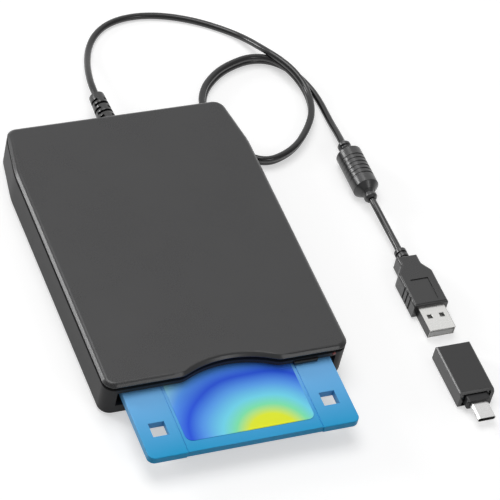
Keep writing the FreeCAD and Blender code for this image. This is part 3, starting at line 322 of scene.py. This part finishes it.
def makePlastic(name):
    colour, roughness, shine, grains, strength = plastics[name]
    tree = material(name)
    grain = tree.noise(grains, 3)
    patches = tree.noise(plasticSkin["patches"], 2)
    skin = tree.mix(patches, tinted(colour, plasticSkin["deep"]), tinted(colour, plasticSkin["pale"]))
    matt = (roughness - plasticSkin["polish"] + patches * plasticSkin["patchMatt"]
            + grain * plasticSkin["grainMatt"])
    if name == "casePlastic":
        # painted shade: from the given height up, the case's colour goes near black and its roughness
        # rises, for the shade in the seam
        _, _, z = tree.axes()
        seamShadeMask = tree.clip((z - paintedSeamShade["bottom"] * mm) / (paintedSeamShade["blend"] * mm))
        skin = tree.mix(seamShadeMask, skin, shade(paintedSeamShade["shade"]))
        matt = matt + seamShadeMask * paintedSeamShade["matt"]
    tree.surface(Base_Color=skin, Roughness=matt, Specular_IOR_Level=shine,
                 Normal=tree.bump(grain, strength, plasticSkin["grainDepth"]))
    return tree.owner


metals = {  # colour, roughness, brush marks per metre along x, y and z, strength
    "sheetSteel": ((0.55, 0.56, 0.57), 0.34, (900, 60, 900), 0.12),
    "rodSteel": ((0.62, 0.62, 0.63), 0.22, (1500, 1500, 1500), 0.05),
    "screwSteel": ((0.40, 0.40, 0.41), 0.35, (1500, 1500, 1500), 0.08),
    "motorMetal": ((0.60, 0.60, 0.61), 0.30, (1200, 1200, 200), 0.10),
    "shutterMetal": ((0.66, 0.67, 0.68), 0.30, (70, 1500, 1500), 0.12),
    "plugMetal": ((0.72, 0.715, 0.70), 0.27, (160, 1600, 1600), 0.06),
    "adapterMetal": ((0.70, 0.695, 0.69), 0.26, (160, 1600, 1600), 0.05),
    "hubSteel": ((0.58, 0.58, 0.58), 0.3, (1200, 1200, 1200), 0.08),
}

metalSkin = {"smears": 90, "smeared": 0.5, "dull": 0.82, "polish": 0.06, "smearMatt": 0.08,
             "markMatt": 0.06, "markDepth": 0.04}

paintedSideShade = {"middle": 0.101, "from": 0.00588, "shade": 0.06}  # painted shade: the shell's side walls are darkened to stand in for the dark reflection they show


def makeMetal(name):
    colour, roughness, brush, strength = metals[name]
    tree = material(name)
    marks = tree.noise(1, 3, brush)
    smears = tree.noise(metalSkin["smears"], 2)
    face = tree.mix(smears * metalSkin["smeared"], tinted(colour), tinted(colour, metalSkin["dull"]))
    # painted shade: the colour goes dark on the shell's sides, away from its middle
    if name == "plugMetal":
        x, _, _ = tree.axes()
        aside = x - paintedSideShade["middle"]
        face = tree.mix((aside * aside) ** 0.5 > paintedSideShade["from"], face, shade(paintedSideShade["shade"]))
    matt = (roughness - metalSkin["polish"] + smears * metalSkin["smearMatt"]
            + marks * metalSkin["markMatt"])
    tree.surface(Base_Color=face, Metallic=1.0, Roughness=matt,
                 Normal=tree.bump(marks, strength, metalSkin["markDepth"]))
    return tree.owner


cordJacket = {"colour": (0.009, 0.009, 0.0095), "mottles": 420, "deep": 0.85, "pale": 1.15,
              "roughness": 0.18, "mottleMatt": 0.08, "shine": 0.65, "grains": 1800, "strength": 0.06,
              "depth": 0.05}


def makeCordJacket():
    tree = material("cordJacket")
    mottle = tree.noise(cordJacket["mottles"], 2)
    grain = tree.noise(cordJacket["grains"], 2)
    colour = cordJacket["colour"]
    tree.surface(Base_Color=tree.mix(mottle, tinted(colour, cordJacket["deep"]),
                                     tinted(colour, cordJacket["pale"])),
                 Roughness=cordJacket["roughness"] + mottle * cordJacket["mottleMatt"],
                 Specular_IOR_Level=cordJacket["shine"],
                 Normal=tree.bump(grain, cordJacket["strength"], cordJacket["depth"]))
    return tree.owner


# the colour pales from the front toward the slot: a painted sheen that stands in for the reflection of the
# bright surroundings
diskPlastic = {"colour": (0.004, 0.36, 0.70), "paintedSheenColour": (0.2, 0.54, 0.98), "sheenFrom": -0.106,
               "sheenTo": -0.074, "clouds": 30, "cloudy": 0.3, "roughness": 0.34, "grainMatt": 0.08,
               "shine": 0.25, "grains": 3200, "strength": 0.08, "depth": 0.05}


def makeDiskPlastic():
    tree = material("diskPlastic")
    grain = tree.noise(diskPlastic["grains"], 3)
    cloud = tree.noise(diskPlastic["clouds"], 2)
    _, y, _ = tree.axes()
    # painted sheen: the colour turns paler toward the slot, with a cloudy edge
    start, end, cloudy = (diskPlastic[key] for key in ("sheenFrom", "sheenTo", "cloudy"))
    paintedSheen = tree.clip((y - start) / (end - start) + cloud * cloudy - cloudy / 2)
    tree.surface(Base_Color=tree.mix(paintedSheen, tinted(diskPlastic["colour"]), tinted(diskPlastic["paintedSheenColour"])),
                 Roughness=diskPlastic["roughness"] + grain * diskPlastic["grainMatt"],
                 Specular_IOR_Level=diskPlastic["shine"],
                 Normal=tree.bump(grain, diskPlastic["strength"], diskPlastic["depth"]))
    return tree.owner


labelPrint = {
    "centre": (0.009, -0.1035),  # of the arcs, just ahead of the label
    "reach": 0.056,
    "ripples": 26,
    "ripple": 0.0096,
    "roughness": 0.34,
    "fibreMatt": 0.06,
    "shine": 0.2,
    "fibres": 2400,
    "strength": 0.05,
    "depth": 0.03,
    "arcs": [(0.0, (1.00, 0.98, 0.02)), (0.2, (0.90, 1.00, 0.04)), (0.29, (0.25, 0.92, 0.50)),
             (0.37, (0.20, 0.80, 1.00)), (0.48, (0.12, 0.42, 1.00)), (0.59, (0.02, 0.10, 0.85)),
             (0.70, (0.10, 0.35, 1.00)), (0.82, (0.35, 0.80, 1.00)), (1.0, (0.22, 0.70, 0.50))],
}


def makeLabelPrint():
    tree = material("labelPrint")
    x, y, _ = tree.axes()
    across = x - labelPrint["centre"][0]
    along = y - labelPrint["centre"][1]
    distance = (across * across + along * along) ** 0.5
    ripple = (tree.noise(labelPrint["ripples"], 1) - 0.5) * labelPrint["ripple"]
    reach = (distance + ripple) / labelPrint["reach"]
    arcs = tree.add("ShaderNodeValToRGB", {"stops": labelPrint["arcs"]}, {0: reach})
    fibre = tree.noise(labelPrint["fibres"], 2)
    tree.surface(Base_Color=arcs, Roughness=labelPrint["roughness"] + fibre * labelPrint["fibreMatt"],
                 Specular_IOR_Level=labelPrint["shine"],
                 Normal=tree.bump(fibre, labelPrint["strength"], labelPrint["depth"]))
    return tree.owner


grained = {  # deep and pale colour, grains per metre, detail, roughness, what grain adds, strength, depth
    "lampLens": ((0.20, 0.018, 0.012), (0.30, 0.03, 0.02), 900, 1, 0.22, 0.05, 0.05, 0.04),
    "chipResin": ((0.015, 0.015, 0.015), (0.03, 0.03, 0.03), 1600, 2, 0.5, 0.1, 0.1, 0.05),
    "ferriteCore": ((0.03, 0.03, 0.03), (0.07, 0.07, 0.07), 1500, 3, 0.6, 0.1, 0.2, 0.05),
}


def makeGrained(name):
    deep, pale, grains, detail, roughness, grainMatt, strength, depth = grained[name]
    tree = material(name)
    grain = tree.noise(grains, detail)
    tree.surface(Base_Color=tree.mix(grain, tinted(deep), tinted(pale)),
                 Roughness=roughness + grain * grainMatt, Normal=tree.bump(grain, strength, depth))
    return tree.owner


boardLacquer = {"lacquer": (0.012, 0.10, 0.035), "track": (0.03, 0.2, 0.08), "cells": 260,
                "trackHalf": 0.06, "roughness": 0.3, "trackMatt": 0.05, "strength": 0.2, "depth": 0.05}


def makeBoard():
    tree = material("boardLacquer")
    fromEdge = tree.add("ShaderNodeTexVoronoi", {"feature": "DISTANCE_TO_EDGE"},
                        {"Vector": tree.place(), "Scale": boardLacquer["cells"]})
    track = fromEdge < boardLacquer["trackHalf"]
    tree.surface(Base_Color=tree.mix(track, tinted(boardLacquer["lacquer"]), tinted(boardLacquer["track"])),
                 Roughness=boardLacquer["roughness"] + track * boardLacquer["trackMatt"],
                 Normal=tree.bump(track, boardLacquer["strength"], boardLacquer["depth"]))
    return tree.owner


mediumFilm = {"middle": -0.0557, "rings": 9, "deep": (0.03, 0.018, 0.014), "pale": (0.045, 0.03, 0.025),
              "roughness": 0.2, "ringMatt": 0.02}


def makeMedium():
    tree = material("mediumFilm")
    x, y, _ = tree.axes()
    across = x / mm
    along = (y - mediumFilm["middle"]) / mm
    turn = (across * across + along * along) ** 0.5 * mediumFilm["rings"]
    rings = tree.add("ShaderNodeMath", {"operation": "SINE"}, {0: turn})
    film = tree.mix(rings * 0.5 + 0.5, tinted(mediumFilm["deep"]), tinted(mediumFilm["pale"]))
    tree.surface(Base_Color=film, Roughness=mediumFilm["roughness"] + rings * mediumFilm["ringMatt"])
    return tree.owner


finishes = {name: makePlastic(name) for name in plastics}
finishes.update({name: makeMetal(name) for name in metals})
finishes.update({name: makeGrained(name) for name in grained})
finishes.update({
    "cordJacket": makeCordJacket(), "diskPlastic": makeDiskPlastic(), "labelPrint": makeLabelPrint(),
    "boardLacquer": makeBoard(), "mediumFilm": makeMedium()})

finishOfSlot = {
    "lid_plastic": "lidPlastic", "case_plastic": "casePlastic", "button_plastic": "buttonPlastic",
    "foot_rubber": "footRubber", "screw_steel": "screwSteel", "lamp": "lampLens",
    "gland_rubber": "glandRubber", "frame_steel": "sheetSteel", "mechanism_plastic": "mechanismPlastic",
    "board": "boardLacquer", "chip": "chipResin", "motor_metal": "motorMetal", "rod_steel": "rodSteel",
    "disk_plastic": "diskPlastic", "label_paper": "labelPrint", "shutter_metal": "shutterMetal",
    "medium_film": "mediumFilm", "hub_steel": "hubSteel", "tab_plastic": "tabPlastic",
    "cord_jacket": "cordJacket", "sleeve_plastic": "sleevePlastic", "ferrite": "ferriteCore",
    "plug_plastic": "plugPlastic", "plug_metal": "plugMetal", "plug_insulator": "insulator",
    "adapter_plastic": "adapterShell", "adapter_metal": "adapterMetal", "collar_plastic": "collarPlastic",
}


def giveFinish(piece, name):
    piece.data.materials.clear()
    piece.data.materials.append(finishes[name])


for node, slot in slotOf.items():
    giveFinish(nodes[node], finishOfSlot[slot])
giveFinish(cord, "cordJacket")
print("finishes made")


# Moulded and pressed pieces get eased edges on a merged copy of the solid.

easedEdges = {  # width of the eased edge in millimetres
    "top_cover": 0.1, "bottom_case": 0.2, "eject_button": 0.08, "cable_gland": 0.22, "foot_1": 0.15,
    "foot_2": 0.15, "foot_3": 0.15, "foot_4": 0.15, "disk_upper_shell": 0.08, "disk_lower_shell": 0.16,
    "ferrite_shell": 0.12, "plug_body": 0.04, "plug_shell": 0.08, "adapter_body": 0.2,
    "adapter_collar": 0.15, "typec_shell": 0.06, "lamp_lens": 0.1,
}


def cutThrough(form, place, direction):  # adds edges where a plane crosses the form
    bmesh.ops.bisect_plane(form, geom=form.verts[:] + form.edges[:] + form.faces[:],
                           plane_co=place, plane_no=direction)


lidRim = {
    "top": 18.5,
    "fillet": 1.3 / 3,
    "rounder": 2.0,
    "slant": (0.1, 0.9995),  # how far a slanted face looks up
    "slack": 0.01,
    "sharp": [(22.2, -70.2), (-19.8, -70.2)],  # the recess's two corners keep their fillet
    "from": 2.6,
    "to": 4.5,
}


def roundRim(form, rim):  # rounds the lid further where its bevel meets the top
    eighth = math.pi / 4
    least, most = rim["slant"]
    tiny = 1e-12  # keeps a corner's own place in the ring from dividing by nothing
    for x, _ in rim["sharp"]:
        beside = x + math.copysign(rim["to"], x)
        cutThrough(form, (beside * mm, 0, 0), (1, 0, 0))
    lowest = rim["fillet"] * (1 - math.cos(eighth)) + rim["slack"]
    slanted = {}
    for corner in form.verts:
        faces = [face for face in corner.link_faces if least < face.normal.z < most]
        if faces and rim["top"] - corner.co.z / mm < lowest:
            pull = sum((face.normal.xy * face.calc_area() for face in faces), Vector((0, 0)))
            slanted[corner] = pull.normalized()
    ring = [(corner.co.xy, way) for corner, way in slanted.items()
            if rim["top"] - corner.co.z / mm > lowest - rim["slack"] * 2]
    moves = {}
    for corner in slanted:
        drop = rim["top"] - corner.co.z / mm
        tilt = math.acos(max(-1, min(1, 1 - drop / rim["fillet"])))
        outward = sum((way / ((place - corner.co.xy).length_squared + tiny) for place, way in ring),
                      Vector((0, 0))).normalized()
        away = min(math.dist(place, corner.co.xy / mm) for place in rim["sharp"])
        share = max(0, min(1, (away - rim["from"]) / (rim["to"] - rim["from"])))
        grown = (rim["rounder"] - rim["fillet"]) * share
        inset = grown * (math.tan(eighth / 2) - math.sin(tilt))
        sink = grown * (1 - math.cos(tilt))
        moves[corner] = Vector((*(outward * -inset), -sink)) * mm
    for corner, move in moves.items():
        corner.co += move


# between the middles of the ferrite sleeve's last two grooves
sleeveBand = {"from": 24.2, "to": 26.4, "merge": 0.005}


def renewBand(form, band):  # takes this band of the sleeve from the one behind it
    pitch = band["to"] - band["from"]
    for level in (band["from"], band["to"], band["to"] + pitch):
        cutThrough(form, (0, level * mm, 0), (0, 1, 0))
    along = [(face.calc_center_median().y / mm - band["from"], face) for face in form.faces]
    old = [face for place, face in along if 0 < place < pitch]
    behind = [face for place, face in along if pitch < place < 2 * pitch]
    copied = bmesh.ops.duplicate(form, geom=behind)["geom"]
    bmesh.ops.delete(form, geom=old, context="FACES")
    bmesh.ops.translate(form, vec=(0, -pitch * mm, 0),
                        verts=[part for part in copied if isinstance(part, bmesh.types.BMVert)])
    bmesh.ops.remove_doubles(form, verts=form.verts, dist=band["merge"] * mm)


easing = {"merge": 0.001, "flat": 0.1, "segments": 2, "edge": 28}  # millimetres and degrees


def easedCopy(node, width):
    source = nodes[node]
    data = source.data.copy()
    form = bmesh.new()
    form.from_mesh(data)
    bmesh.ops.remove_doubles(form, verts=form.verts, dist=easing["merge"] * mm)
    if node == "top_cover":
        roundRim(form, lidRim)
    if node == "ferrite_shell":
        renewBand(form, sleeveBand)
    bmesh.ops.dissolve_limit(form, angle_limit=math.radians(easing["flat"]), verts=form.verts,
                             edges=form.edges, use_dissolve_boundaries=False, delimit=set())
    for face in form.faces:
        face.smooth = True
    form.to_mesh(data)
    form.free()
    piece = addObject(node + ".eased", data)
    ease = piece.modifiers.new("ease", "BEVEL")
    ease.width = width * mm
    ease.segments = easing["segments"]
    ease.limit_method = "ANGLE"
    ease.angle_limit = math.radians(easing["edge"])
    ease.use_clamp_overlap = True
    level = piece.modifiers.new("level", "WEIGHTED_NORMAL")
    level.keep_sharp = True
    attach(piece, source["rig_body"])
    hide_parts(node)
    return piece


eased = {node: easedCopy(node, width) for node, width in easedEdges.items()}
print("edges eased")


# Floor, light and background.

studio = {
    "floorHalf": 3,
    "floorBounce": 0.30,  # how much light the floor throws back at the object
    "floorSeen": 0.66,
    "floorGlow": 0.52,
    "sky": 0.28,
    "skyGloss": {"even": 0.1, "rear": 0.6, "slope": 2, "start": 0.1},  # what shine adds, most from behind
    "lamps": [  # name, place, size, power
        ("overhead", (-0.15, 0.35, 1.3), 0.9, 8.5),
        ("leftRear", (-0.87, 0.72, 0.45), 0.32, 3.6),
        ("front", (0.47, -0.94, 0.77), 0.3, 1.1),
    ],
}


def addFloor():
    form = bmesh.new()
    bmesh.ops.create_grid(form, x_segments=1, y_segments=1, size=studio["floorHalf"])
    data = bpy.data.meshes.new("floor")
    form.to_mesh(data)
    form.free()
    floor = addObject("floor", data)
    tree = material("floorPaper")
    seenBy, glossy, through = tree.rays()
    seen = seenBy + glossy + through
    dull = tree.add("ShaderNodeBsdfDiffuse", {}, {"Color": shade(studio["floorBounce"])})
    pale = tree.add("ShaderNodeBsdfDiffuse", {}, {"Color": shade(studio["floorSeen"])})
    glow = tree.add("ShaderNodeEmission", {}, {"Strength": studio["floorGlow"]})
    bright = tree.add("ShaderNodeAddShader", {}, {0: pale, 1: glow})
    tree.finishWith(tree.add("ShaderNodeMixShader", {}, {0: seen, 1: dull, 2: bright}))
    floor.data.materials.append(tree.owner)


def addSky():
    world = bpy.data.worlds.new("sky")
    bpy.context.scene.world = world
    tree = Tree(world)
    seenBy, glossy, through = tree.rays()
    direction = tree.add("ShaderNodeTexCoord", output="Generated")
    behind = tree.add("ShaderNodeSeparateXYZ", {}, {0: direction}, "Y")
    gloss = studio["skyGloss"]
    shine = tree.clip(behind * gloss["slope"] + gloss["start"]) * gloss["rear"] + gloss["even"]
    strength = studio["sky"] + (seenBy + through) * (1 - studio["sky"]) + glossy * shine
    sky = tree.add("ShaderNodeBackground", {}, {"Color": (1, 1, 1, 1), "Strength": strength})
    tree.add("ShaderNodeOutputWorld", {}, {"Surface": sky})


def addLamps():
    for name, place, size, power in studio["lamps"]:
        data = bpy.data.lights.new(name, "AREA")
        data.shape = "SQUARE"
        data.size = size
        data.energy = power
        lamp = addObject(name, data)
        lamp.location = place
        lamp.rotation_mode = "QUATERNION"
        lamp.rotation_quaternion = Vector(place).to_track_quat("Z", "Y")


addFloor()
addSky()
addLamps()
bpy.context.scene.view_settings.view_transform = "Standard"
print("studio ready")

bpy.context.view_layer.update()
